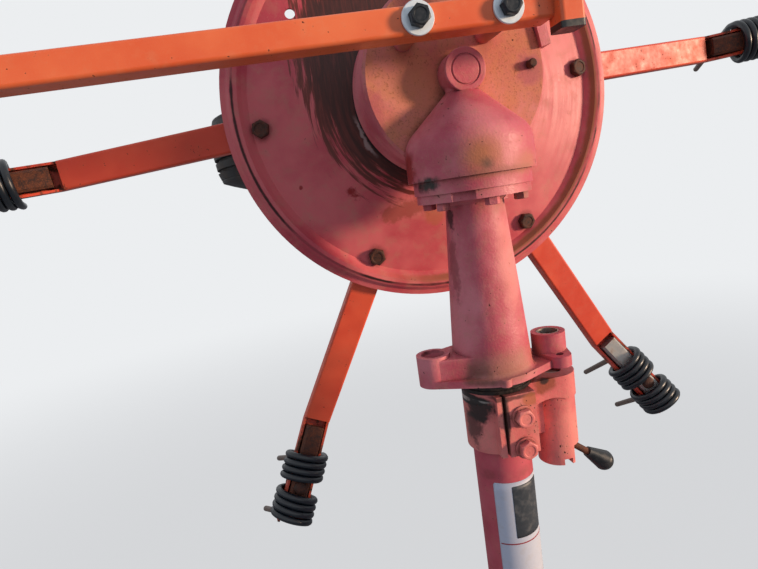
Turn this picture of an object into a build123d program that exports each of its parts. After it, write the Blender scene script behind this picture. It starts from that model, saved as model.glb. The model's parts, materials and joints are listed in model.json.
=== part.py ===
from build123d import *
from math import cos, hypot, radians, sin, tan
import os

os.makedirs("parts", exist_ok=True)

# Rotor unit of a hay tedder, in millimetres, with its boom standing up as it is folded for the road.
# Origin: middle of the fold hinge at the boom's foot, on the hinge axis (X) and the boom axis (Z).
# +Y runs along the rotor axis from the gearbox to the tine side, +Z up along the boom.

# Fits
run_gap = 0.05  # radial, shaft in a plain bearing
seat_gap = 0.3  # between seated pieces

# Main places
rotor_height = 800  # rotor axis above the fold hinge
rotor_set = 126  # lip of the rotor disc behind the boom axis

# Fold hinge and drive
fork_gap = 72
fork_wall = 16
fork_eye_r = 34
hinge_bore_r = 15
fork_width = 64
bridge_bottom = 92
bridge_thick = 28
drive_shaft_r = 15
drive_shaft_top = 330
yoke_hub_r = 27
yoke_hub_bottom = 40
yoke_hub_top = 72
yoke_gap = 36
yoke_ear_thick = 9
yoke_eye_r = 14
yoke_bore_r = 8

# Boom
boom_tube_r = 32.5
boom_tube_wall = 5
boom_insert = 95  # length of the tube inside the swivel casting

# Swivel casting, measured down from the rotor axis
joint_drop = 118  # joint face between gearbox and swivel casting
casting_drop = 323  # lower face of the casting
casting_flange_r = 60
casting_flange_thick = 9
casting_flange_cut = (14, 66)  # radius of the scallops, and how far out they are
column_top_r = 31
column_knee_r = 40
column_knee = 68  # above the lower face
column_bottom_r = 44
foot_thick = 8
foot_r = 50
foot_fillet = 5
column_top_flare = 5
nub = (-6, -48, 6)  # x, y, radius
eye_bore_r = 13
eye_height = 34
left_eye = (-67.5, 18.5)  # x, radius
right_eye = (70, 19)
lug_place = (70, -23)  # bolt lug before the right eye
lug_r = 12.5
lug_bore_r = 4.5
lug_thick = 12.5
latch_bush_bore_r = 11

# Swivel ring, clamp and latch
ring_bands = [(40, 4), (38.6, 4), (40, 4.4)]  # radius, height, from below
clamp_r = 38
clamp_height = 69
plate_right = 26
plate_left = -8
plate_front = 46
slit_width = 3
ear_width = 6
ear_front = 44
latch_r = 23.5
latch_height = 108
latch_block_r = 25
latch_block_height = 28
latch_arch_r = 40  # arched lower edge of the block
latch_arch_rise = 5
latch_web = 24
latch_web_height = 68
latch_gate = (78.5, 21)  # x of the side cut for the lever, and its height
latch_notch = (10, 7)
latch_pin_r = 10.5
latch_pin_top = 4  # below the tube's upper end: the pin is drawn back
latch_pin_length = 92
lever_r = 4
lever_rise = 15  # lever's root above the tube's lower end
lever_length = 30
lever_fall = 38.7  # degrees
knob_neck_r = 6
knob_r = 12
knob_length = 38

# Gearbox, along the rotor axis from the disc's lip, towards the boom
cover_r = 100
cover_back = 50
cover_front = 118
cover_round = 3
boss_r = 21.5
boss_front = 142
plug_r = 14
plug_depth = 3
plug_thick = 2
guard_boss_r = 16
fin = (98, 31, 11, 24)  # x, height, width and length of the cover's fin
fin_front = 124
fin_depth = 18
bell_shoulder = (17, -18)  # radius about the boom axis, height against the rotor axis
bell_slope_end = (56, -54)
bell_mid = (64, -64)
bell_r = 67
bell_knee = -78
bell_foot = -104
bell_flange_r = 62

# Guard frame
guard_tube = 30
guard_wall = 3
guard_round = 4
guard_front = 190  # front of the cross bar, before the disc's lip
guard_bolts = [(-54, 38), (33, 38)]  # x, height against the rotor axis
guard_left = -560
guard_right = 73
bow_tube = 25
bow_front = 202
bow_bend_r = 110
bow_low = 18
bow_rise = 420
bow_cap = 6

# Rotor, along the rotor axis from the disc's lip, + to the tine side
arm_slope = 11.1  # arms and disc lean back to the tine side
bolt_circle_r = 208
arm_front = 2  # arm's front face at the bolt circle
disc_r = 250
disc_thick = 4
disc_bore_r = 60
disc_flat_r = 219
disc_rim = [  # radius, front face: raised bead, valley, then the lip
    (225, -4.5),
    (230, -9),
    (235, -10),
    (240, -7),
    (244, -2),
    (disc_r, 0),
]
disc_hole = (188, 144, 6)  # distance from the axis, angle, radius
disc_hole_reach = 16  # each way from the lip, through the dished sheet
hub_neck_r = 76
hub_front = -46
hub_flange_r = 125
hub_flange_thick = 9
hub_back_r = 56
hub_back = 40
spindle_r = 30
arm_count = 6
arm_start_angle = 3.9
arm_width = 36
arm_depth = 20
arm_wall = 3
arm_corner = 3
arm_seat = 0.5  # flat arm on the dished disc
arm_inner = -144  # along the arm, from the bolt circle
arm_bend = 262  # the front wall ends here, and the open end leans towards the boom side
arm_bend_angle = 27
arm_end_length = 141  # from the bend
open_corner = 12

# Tine clips and double tines, along the arm's open end from the bend
clip_start = 7
clip_end = arm_end_length - 17
clip_width = 25
clip_front = 14.8  # before the arm's middle
clip_bevel = 3
tongue_width = 25
tine_wire_r = 4.6
coil_mid_r = 25.9
coil_pitch = 9.5
coil_turns = 3
inner_coil = arm_end_length - 65  # where the bridge meets each coil
outer_coil = arm_end_length - 35
bridge_round = 6.5
bridge_lean = -11  # the bridge bulges past the bolt
bridge_corner = -8  # where it leaves each coil
bridge_step = 9
leg_drop = 14
leg_round = 14
leg_reach = (49, 220, -34)  # tine's tip from its coil: along the arm, to its back, sideways

# Gauge wheel
wheel_x = -124
wheel_y = 208
wheel_drop = 14
tyre_r = 163
tyre_half = 62.5
tread = [(31, 160), (46, 155), (52.5, 139)]  # across the wheel, radius
groove_pitch = 14.5
groove_count = 7
groove_size = (5, 7)  # width, depth
sidewall_r = 110
bead_half = 44
rim_r = 76
rim_half = 50
rim_wall = 4
wheel_hub_r = 30
wheel_hub_half = 55
axle_r = 12.5
axle_end = 10
leg_foot_near = 46
leg_foot_thick = 14
leg_foot_r = 36
leg_side = 76  # middle of the side plate above the rotor axis
leg_side_thick = 14
leg_width = 64
axle_boss_r = 26
axle_boss_gap = 5

rotor_axis = Axis((0, 0, rotor_height), (0, 1, 0))
boom_side = Plane(origin=(0, 0, 0), x_dir=(1, 0, 0), z_dir=(0, -1, 0))
rotor_side = Plane(origin=(0, rotor_set, rotor_height), x_dir=(0, 1, 0), z_dir=(1, 0, 0))
casting_bottom = rotor_height - casting_drop
joint_face = rotor_height - joint_drop
right_x = right_eye[0]


def rotor_face(offset):
    """Plane across the rotor axis, facing the boom side, local x as +X and y as +Z."""
    return Plane(
        origin=(0, rotor_set + offset, rotor_height), x_dir=(1, 0, 0), z_dir=(0, -1, 0)
    )


# Fold hinge fork, with the drive shaft's bearing in its bridge
with BuildPart() as hinge_fork:
    for side in (-1, 1):
        cheek_x = side * (fork_gap + fork_wall) / 2
        with BuildSketch(Plane.YZ.offset(cheek_x)):
            Circle(fork_eye_r)
            with Locations((0, bridge_bottom + bridge_thick / 2)):
                Rectangle(fork_width, bridge_thick)
            make_hull()
        extrude(amount=fork_wall / 2, both=True)
    with BuildSketch(Plane.XY.offset(bridge_bottom)):
        Rectangle(fork_gap + 2 * fork_wall, fork_width)
    extrude(amount=bridge_thick)
    with BuildSketch(Plane.YZ):
        Circle(hinge_bore_r)
    extrude(amount=fork_gap, both=True, mode=Mode.SUBTRACT)
    with BuildSketch(Plane.XY.offset(bridge_bottom)):
        Circle(drive_shaft_r + run_gap)
    extrude(amount=bridge_thick, mode=Mode.SUBTRACT)
hinge_fork.part.label = "hinge_fork"
export_step(hinge_fork.part, "parts/hinge_fork.step")

# Drive shaft, in the fork's bridge and up inside the boom
with BuildPart() as drive_shaft:
    with BuildSketch(Plane.XY.offset(yoke_hub_top)):
        Circle(drive_shaft_r)
    extrude(amount=drive_shaft_top - yoke_hub_top)
drive_shaft.part.label = "drive_shaft"
export_step(drive_shaft.part, "parts/drive_shaft.step")

with BuildPart() as drive_yoke:
    with BuildSketch(Plane.XY.offset(yoke_hub_bottom)):
        Circle(yoke_hub_r)
    extrude(amount=yoke_hub_top - yoke_hub_bottom)
    for side in (-1, 1):
        ear_y = side * (yoke_gap + yoke_ear_thick) / 2
        with BuildSketch(Plane.XZ.offset(ear_y)):
            Circle(yoke_eye_r)
            with Locations((0, (yoke_hub_bottom + yoke_hub_top) / 4)):
                Rectangle(2 * yoke_eye_r, (yoke_hub_bottom + yoke_hub_top) / 2)
        extrude(amount=yoke_ear_thick / 2, both=True)
    with BuildSketch(Plane.XZ):
        Circle(yoke_bore_r)
    extrude(amount=yoke_gap, both=True, mode=Mode.SUBTRACT)
drive_yoke.part.label = "drive_yoke"
export_step(drive_yoke.part, "parts/drive_yoke.step")

# Boom tube, from the fork into the swivel casting
boom_tube_bottom = bridge_bottom + bridge_thick
boom_tube_top = casting_bottom + boom_insert
with BuildPart() as boom_tube:
    with BuildSketch(Plane.XY.offset(boom_tube_bottom)):
        Circle(boom_tube_r)
        Circle(boom_tube_r - boom_tube_wall, mode=Mode.SUBTRACT)
    extrude(amount=boom_tube_top - boom_tube_bottom)
boom_tube.part.label = "boom_tube"
export_step(boom_tube.part, "parts/boom_tube.step")

# Swivel ring between the clamp and the casting: seal, steel band, seal
ring_bottom = casting_bottom - seat_gap - sum(height for radius, height in ring_bands)
with BuildPart() as swivel_ring:
    band_bottom = ring_bottom
    for radius, height in ring_bands:
        with BuildSketch(Plane.XY.offset(band_bottom)):
            Circle(radius)
            Circle(boom_tube_r + seat_gap, mode=Mode.SUBTRACT)
        extrude(amount=height)
        band_bottom += height
swivel_ring.part.label = "swivel_ring"
export_step(swivel_ring.part, "parts/swivel_ring.step")

# Split clamp with its bolted plate and the latch's housing, one casting hung below the ring
clamp_top = ring_bottom - seat_gap
clamp_bottom = clamp_top - clamp_height
latch_bottom = clamp_top - latch_height
slit_left = plate_left - slit_width
arch_top = clamp_top - latch_block_height + latch_arch_rise
with BuildPart() as latch_clamp:
    with BuildSketch(Plane.XY.offset(clamp_top - latch_block_height)):
        with Locations((right_x, 0)):
            Circle(latch_block_r)
        with Locations((right_x / 2, 0)):
            Rectangle(right_x, 2 * latch_block_r)
    extrude(amount=latch_block_height)
    with BuildSketch(boom_side):
        with Locations(((clamp_r + right_x) / 2, arch_top - latch_arch_r)):
            Circle(latch_arch_r)
    extrude(amount=latch_block_r, both=True, mode=Mode.SUBTRACT)
    with BuildSketch(Plane.XY.offset(clamp_bottom)):
        Circle(clamp_r)
        with Locations(((plate_left + plate_right) / 2, -plate_front / 2)):
            Rectangle(plate_right - plate_left, plate_front)
        with Locations((slit_left - ear_width / 2, -ear_front / 2)):
            Rectangle(ear_width, ear_front)
    extrude(amount=clamp_height)
    with BuildSketch(Plane.XY.offset(clamp_top - latch_web_height)):
        with Locations((right_x / 2, 0)):
            Rectangle(right_x, latch_web)
    extrude(amount=latch_web_height)
    with BuildSketch(Plane.XY.offset(latch_bottom)):
        with Locations((right_x, 0)):
            Circle(latch_r)
    extrude(amount=latch_height)
    # Ways for the lever: a gate through the tube's outer side and a notch through its foot
    with BuildSketch(boom_side):
        with Locations((latch_gate[0] + latch_r / 2, latch_bottom + latch_gate[1] / 2)):
            Rectangle(latch_r, latch_gate[1])
        with Locations((right_x, latch_bottom + latch_notch[1] / 2)):
            Rectangle(*latch_notch)
    extrude(amount=latch_r, both=True, mode=Mode.SUBTRACT)
    with BuildSketch(Plane.XY.offset(latch_bottom)):
        with Locations((right_x, 0)):
            Circle(latch_pin_r + seat_gap)
    extrude(amount=latch_height, mode=Mode.SUBTRACT)
    # Seat on the boom's tube, and the slit that the bolts draw shut
    with BuildSketch(Plane.XY.offset(clamp_bottom)):
        Circle(boom_tube_r + seat_gap)
        with Locations((plate_left - slit_width / 2, -plate_front / 2)):
            Rectangle(slit_width, plate_front)
    extrude(amount=clamp_height, mode=Mode.SUBTRACT)
latch_clamp.part.label = "latch_clamp"
export_step(latch_clamp.part, "parts/latch_clamp.step")

# Latch pin, drawn back into its tube, with its lever and knob
latch_pin_end = clamp_top - latch_pin_top
with BuildPart() as latch_pin:
    with BuildSketch(Plane.XY.offset(latch_pin_end - latch_pin_length)):
        with Locations((right_x, 0)):
            Circle(latch_pin_r)
    extrude(amount=latch_pin_length)
latch_pin.part.label = "latch_pin"
export_step(latch_pin.part, "parts/latch_pin.step")

lever_along = Vector(cos(radians(lever_fall)), 0, -sin(radians(lever_fall)))
lever_out = right_x + latch_pin_r + seat_gap - lever_r * lever_along.Z
lever_root = Vector(lever_out, 0, latch_bottom + lever_rise)
with BuildPart() as latch_lever:
    with BuildSketch(Plane(origin=lever_root, z_dir=lever_along)):
        Circle(lever_r)
    extrude(amount=lever_length)
latch_lever.part.label = "latch_lever"
export_step(latch_lever.part, "parts/latch_lever.step")

knob_plane = Plane(
    origin=lever_root + lever_along * lever_length, x_dir=lever_along, z_dir=(0, 1, 0)
)
with BuildPart() as latch_knob:
    with BuildSketch(knob_plane):
        with BuildLine():
            Line((0, 0), (0, knob_neck_r))
            Line((0, knob_neck_r), (knob_length - knob_r, knob_r))
            CenterArc((knob_length - knob_r, 0), knob_r, 0, 90)
            Line((knob_length, 0), (0, 0))
        make_face()
    revolve(axis=Axis(knob_plane.origin, lever_along))
latch_knob.part.label = "latch_knob"
export_step(latch_knob.part, "parts/latch_knob.step")

# Swivel casting with its two eyes
flange_under = joint_face - casting_flange_thick
foot_top = casting_bottom + foot_thick
eye_places = [(left_eye[0], 0), (right_x, 0)]
with BuildPart() as swivel_casting:
    with BuildSketch(boom_side):
        with BuildLine():
            Polyline(
                (0, casting_bottom),
                (foot_r, casting_bottom),
                (foot_r, foot_top),
                (column_bottom_r, foot_top),
                (column_knee_r, casting_bottom + column_knee),
                (column_top_r, flange_under - column_top_flare),
                (column_top_r + column_top_flare, flange_under),
                (column_top_r + column_top_flare, joint_face),
                (0, joint_face),
                close=True,
            )
        make_face()
        corner = [v for v in vertices() if abs(v.Y - foot_top) < 1 and v.X < foot_r - 1]
        fillet(corner, foot_fillet)
    revolve(axis=Axis.Z)
    with BuildSketch(Plane.XY.offset(flange_under)):
        Circle(casting_flange_r)
        with PolarLocations(casting_flange_cut[1], 3):
            Circle(casting_flange_cut[0], mode=Mode.SUBTRACT)
    extrude(amount=casting_flange_thick)
    with BuildSketch(Plane.XY.offset(casting_bottom)):
        with Locations(eye_places[0]):
            Circle(left_eye[1])
        with Locations(eye_places[1]):
            Circle(right_eye[1])
        Circle(foot_r)
        make_hull()
    extrude(amount=foot_thick)
    with BuildSketch(Plane.XY.offset(casting_bottom)):
        with Locations(nub[:2]):
            Circle(nub[2])
    extrude(amount=foot_thick)
    with BuildSketch(Plane.XY.offset(casting_bottom)):
        with Locations(eye_places[1]):
            Circle(right_eye[1])
        with Locations(lug_place):
            Circle(lug_r)
        make_hull()
    extrude(amount=lug_thick)
    with BuildSketch(Plane.XY.offset(casting_bottom)):
        with Locations(eye_places[0]):
            Circle(left_eye[1])
        with Locations(eye_places[1]):
            Circle(right_eye[1])
    extrude(amount=eye_height)
    with BuildSketch(Plane.XY.offset(casting_bottom)):
        with Locations(*eye_places):
            Circle(eye_bore_r)
    extrude(amount=eye_height, mode=Mode.SUBTRACT)
    with BuildSketch(Plane.XY.offset(casting_bottom)):
        with Locations(lug_place):
            Circle(lug_bore_r)
    extrude(amount=lug_thick, mode=Mode.SUBTRACT)
    with BuildSketch(Plane.XY.offset(casting_bottom)):
        Circle(boom_tube_r + run_gap)
    extrude(amount=boom_insert + seat_gap, mode=Mode.SUBTRACT)
swivel_casting.part.label = "swivel_casting"
export_step(swivel_casting.part, "parts/swivel_casting.step")

with BuildPart() as latch_bush:
    with BuildSketch(Plane.XY.offset(casting_bottom)):
        with Locations(eye_places[1]):
            Circle(eye_bore_r - seat_gap)
            Circle(latch_bush_bore_r, mode=Mode.SUBTRACT)
    extrude(amount=eye_height)
latch_bush.part.label = "latch_bush"
export_step(latch_bush.part, "parts/latch_bush.step")

# Gearbox: round cover over the crown wheel, bell over the pinion, boss of the rotor's shaft
with BuildPart() as gearbox:
    with BuildSketch(rotor_side):
        with BuildLine():
            Polyline(
                (-cover_back, 0),
                (-cover_back, cover_r),
                (-cover_front + cover_round, cover_r),
                (-cover_front, cover_r - cover_round),
                (-cover_front, boss_r),
                (-boss_front, boss_r),
                (-boss_front, 0),
                close=True,
            )
        make_face()
    revolve(axis=rotor_axis)
    with BuildSketch(Plane(origin=(0, 0, rotor_height), x_dir=(1, 0, 0), z_dir=(0, -1, 0))):
        with BuildLine():
            Line((0, bell_shoulder[1]), bell_shoulder)
            Line(bell_shoulder, bell_slope_end)
            ThreePointArc(bell_slope_end, bell_mid, (bell_r, bell_knee))
            Polyline(
                (bell_r, bell_knee),
                (bell_r, bell_foot),
                (bell_flange_r, bell_foot),
                (bell_flange_r, -joint_drop),
                (0, -joint_drop),
                (0, bell_shoulder[1]),
            )
        make_face()
    revolve(axis=Axis.Z)
    with BuildSketch(Plane.XY.offset(rotor_height + bell_shoulder[1])):
        Circle(bell_shoulder[0])
    extrude(amount=-bell_shoulder[1])
    with BuildSketch(rotor_face(-cover_front)):
        with Locations(*guard_bolts):
            Circle(guard_boss_r)
    extrude(amount=guard_front - guard_tube - cover_front)
    with BuildSketch(rotor_face(-fin_front)):
        with Locations(fin[:2]):
            Rectangle(fin[2], fin[3], rotation=arm_slope)
    extrude(amount=-fin_depth)
    with BuildSketch(rotor_face(-boss_front)):
        Circle(plug_r + seat_gap)
    extrude(amount=-plug_depth, mode=Mode.SUBTRACT)
gearbox.part.label = "gearbox"
export_step(gearbox.part, "parts/gearbox.step")

with BuildPart() as boss_plug:
    with BuildSketch(rotor_face(-boss_front + plug_depth)):
        Circle(plug_r)
    extrude(amount=plug_thick)
boss_plug.part.label = "boss_plug"
export_step(boss_plug.part, "parts/boss_plug.step")

# Guard frame: cross bar on the gearbox, bow with capped feet
with BuildPart() as guard_bar:
    with BuildSketch(Plane.YZ.offset(guard_left)):
        with Locations((rotor_set - guard_front + guard_tube / 2, rotor_height + guard_bolts[0][1])):
            RectangleRounded(guard_tube, guard_tube, guard_round)
            RectangleRounded(
                guard_tube - 2 * guard_wall,
                guard_tube - 2 * guard_wall,
                guard_round - guard_wall,
                mode=Mode.SUBTRACT,
            )
    extrude(amount=guard_right - guard_left)
guard_bar.part.label = "guard_bar"
export_step(guard_bar.part, "parts/guard_bar.step")

bow_y = rotor_set - bow_front + bow_tube / 2
bow_left_x = guard_left - bow_tube / 2
bow_right_x = guard_right + bow_tube / 2
bow_foot = rotor_height + bow_low
bow_top = rotor_height + bow_rise
with BuildPart() as guard_bow:
    with BuildLine():
        FilletPolyline(
            (bow_left_x, bow_y, bow_foot),
            (bow_left_x, bow_y, bow_top),
            (bow_right_x, bow_y, bow_top),
            (bow_right_x, bow_y, bow_foot),
            radius=bow_bend_r,
        )
    with BuildSketch(Plane(origin=(bow_left_x, bow_y, bow_foot), x_dir=(1, 0, 0), z_dir=(0, 0, 1))):
        RectangleRounded(bow_tube, bow_tube, guard_round)
        RectangleRounded(
            bow_tube - 2 * guard_wall,
            bow_tube - 2 * guard_wall,
            guard_round - guard_wall,
            mode=Mode.SUBTRACT,
        )
    sweep()
guard_bow.part.label = "guard_bow"
export_step(guard_bow.part, "parts/guard_bow.step")

for side, bow_x in (("left", bow_left_x), ("right", bow_right_x)):
    with BuildPart() as bow_foot_cap:
        with BuildSketch(Plane.XY.offset(bow_foot - bow_cap)):
            with Locations((bow_x, bow_y)):
                RectangleRounded(bow_tube, bow_tube, guard_round)
        extrude(amount=bow_cap)
    bow_foot_cap.part.label = f"bow_cap_{side}"
    export_step(bow_foot_cap.part, f"parts/bow_cap_{side}.step")

# Fixed spindle through the rotor's hub, from the gearbox to the wheel leg
with BuildPart() as spindle:
    with BuildSketch(rotor_face(-cover_back)):
        Circle(spindle_r)
    extrude(amount=-(cover_back + leg_foot_near))
spindle.part.label = "spindle"
export_step(spindle.part, "parts/spindle.step")

# Wheel leg: foot on the spindle's end, side plate beside the tyre, boss for the stub axle
axle_y = rotor_set + wheel_y
axle_z = rotor_height - wheel_drop
leg_inner = rotor_height + leg_side - leg_side_thick / 2
foot_middle = rotor_set + leg_foot_near + leg_foot_thick / 2
with BuildPart() as wheel_leg:
    with BuildSketch(rotor_face(leg_foot_near)):
        Circle(leg_foot_r)
        with Locations((0, leg_side / 2)):
            Rectangle(leg_width, leg_side + leg_side_thick)
    extrude(amount=-leg_foot_thick)
    with BuildSketch(Plane.XY.offset(leg_inner)):
        with Locations((0, foot_middle)):
            Rectangle(leg_width, leg_foot_thick)
        with Locations((wheel_x, axle_y)):
            Circle(leg_width / 2)
        make_hull()
    extrude(amount=leg_side_thick)
wheel_leg.part.label = "wheel_leg"
export_step(wheel_leg.part, "parts/wheel_leg.step")

hub_top = axle_z + wheel_hub_half
with BuildPart() as wheel_axle:
    with BuildSketch(Plane.XY.offset(leg_inner)):
        with Locations((wheel_x, axle_y)):
            Circle(axle_r)
    extrude(amount=hub_top - 2 * wheel_hub_half - axle_end - leg_inner)
    with BuildSketch(Plane.XY.offset(leg_inner)):
        with Locations((wheel_x, axle_y)):
            Circle(axle_boss_r)
    extrude(amount=hub_top + axle_boss_gap - leg_inner)
wheel_axle.part.label = "wheel_axle"
export_step(wheel_axle.part, "parts/wheel_axle.step")

# Wheel: rim with its hub, and ribbed tyre
wheel_side = Plane(origin=(wheel_x, axle_y, axle_z), x_dir=(0, 0, 1), z_dir=(1, 0, 0))
wheel_axis = Axis((wheel_x, axle_y, axle_z), (0, 0, 1))
with BuildPart() as wheel_rim:
    with BuildSketch(wheel_side):
        with BuildLine():
            Polyline(
                (-rim_half, rim_r),
                (rim_half, rim_r),
                (rim_half, rim_r - rim_wall),
                (rim_wall / 2, rim_r - rim_wall),
                (rim_wall / 2, wheel_hub_r),
                (wheel_hub_half, wheel_hub_r),
                (wheel_hub_half, axle_r + run_gap),
                (-wheel_hub_half, axle_r + run_gap),
                (-wheel_hub_half, wheel_hub_r),
                (-rim_wall / 2, wheel_hub_r),
                (-rim_wall / 2, rim_r - rim_wall),
                (-rim_half, rim_r - rim_wall),
                close=True,
            )
        make_face()
    revolve(axis=wheel_axis)
wheel_rim.part.label = "wheel_rim"
export_step(wheel_rim.part, "parts/wheel_rim.step")

bead_r = rim_r + seat_gap
with BuildPart() as tyre:
    with BuildSketch(wheel_side):
        with BuildLine():
            Polyline(
                (-bead_half, bead_r),
                (bead_half, bead_r),
                (tyre_half, sidewall_r),
                *reversed(tread),
                (0, tyre_r),
                *[(-across, radius) for across, radius in tread],
                (-tyre_half, sidewall_r),
                close=True,
            )
        make_face()
        with Locations((0, tyre_r)):
            with GridLocations(groove_pitch, 1, groove_count, 1):
                Rectangle(groove_size[0], 2 * groove_size[1], mode=Mode.SUBTRACT)
    revolve(axis=wheel_axis)
tyre.part.label = "tyre"
export_step(tyre.part, "parts/tyre.step")


def dish(radius, offset=0):
    """Place along the rotor axis of the arms' front face, or a face this far behind it."""
    slope = radians(arm_slope)
    return arm_front + (radius - bolt_circle_r) * tan(slope) + offset / cos(slope)


# Rotor disc, dished sheet with a raised bead inside its lip
sheet_back = -arm_seat
with BuildPart() as rotor_disc:
    with BuildSketch(rotor_side):
        with BuildLine():
            front = [
                (dish(disc_bore_r, sheet_back - disc_thick), disc_bore_r),
                (dish(disc_flat_r, sheet_back - disc_thick), disc_flat_r),
                *[(y, r) for r, y in disc_rim],
            ]
            back = [(y + disc_thick, r) for y, r in reversed(front)]
            Polyline(*front, *back, close=True)
        make_face()
    revolve(axis=rotor_axis)
    with BuildSketch(rotor_face(0)):
        with PolarLocations(disc_hole[0], 1, disc_hole[1]):
            Circle(disc_hole[2])
    extrude(amount=disc_hole_reach, both=True, mode=Mode.SUBTRACT)
rotor_disc.part.label = "rotor_disc"
export_step(rotor_disc.part, "parts/rotor_disc.step")

# Hub: neck before the disc, core between the arms' feet, flange behind them
arms_back = arm_depth + seat_gap
neck_seat = sheet_back - disc_thick - seat_gap
core_r = disc_bore_r - seat_gap
with BuildPart() as rotor_hub:
    with BuildSketch(rotor_side):
        with BuildLine():
            Polyline(
                (hub_front, spindle_r + run_gap),
                (hub_front, hub_neck_r),
                (dish(hub_neck_r, neck_seat), hub_neck_r),
                (dish(core_r, neck_seat), core_r),
                (dish(core_r, arms_back), core_r),
                (dish(hub_flange_r, arms_back), hub_flange_r),
                (dish(hub_flange_r, arms_back) + hub_flange_thick, hub_flange_r),
                (dish(core_r, arms_back) + 2 * hub_flange_thick, hub_back_r),
                (hub_back, hub_back_r),
                (hub_back, spindle_r + run_gap),
                close=True,
            )
        make_face()
    revolve(axis=rotor_axis)
rotor_hub.part.label = "rotor_hub"
export_step(rotor_hub.part, "parts/rotor_hub.step")

coil_swell = hypot(coil_mid_r, coil_pitch / 4)  # half a turn's top, so that the turns join smoothly
bridge_seat = clip_front + seat_gap + tine_wire_r
clip_seat = arm_depth / 2 - arm_wall + seat_gap  # pad on the edges of the arm's open walls
leg_tip = Vector(*leg_reach)
bend = radians(arm_bend_angle)


def arm_side(inner, outer, front, back):
    """Points round a strip of the bent arm's side view, between two depths from its middle."""
    bend_shift = tan(bend / 2)
    depths = ((front, 1), (back, -1))
    line = []
    for depth, way in depths:
        points = [
            (inner, depth),
            (arm_bend + depth * bend_shift, depth),
            (
                arm_bend + outer * cos(bend) + depth * sin(bend),
                depth * cos(bend) - outer * sin(bend),
            ),
        ]
        line += points[::way]
    return line


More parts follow.
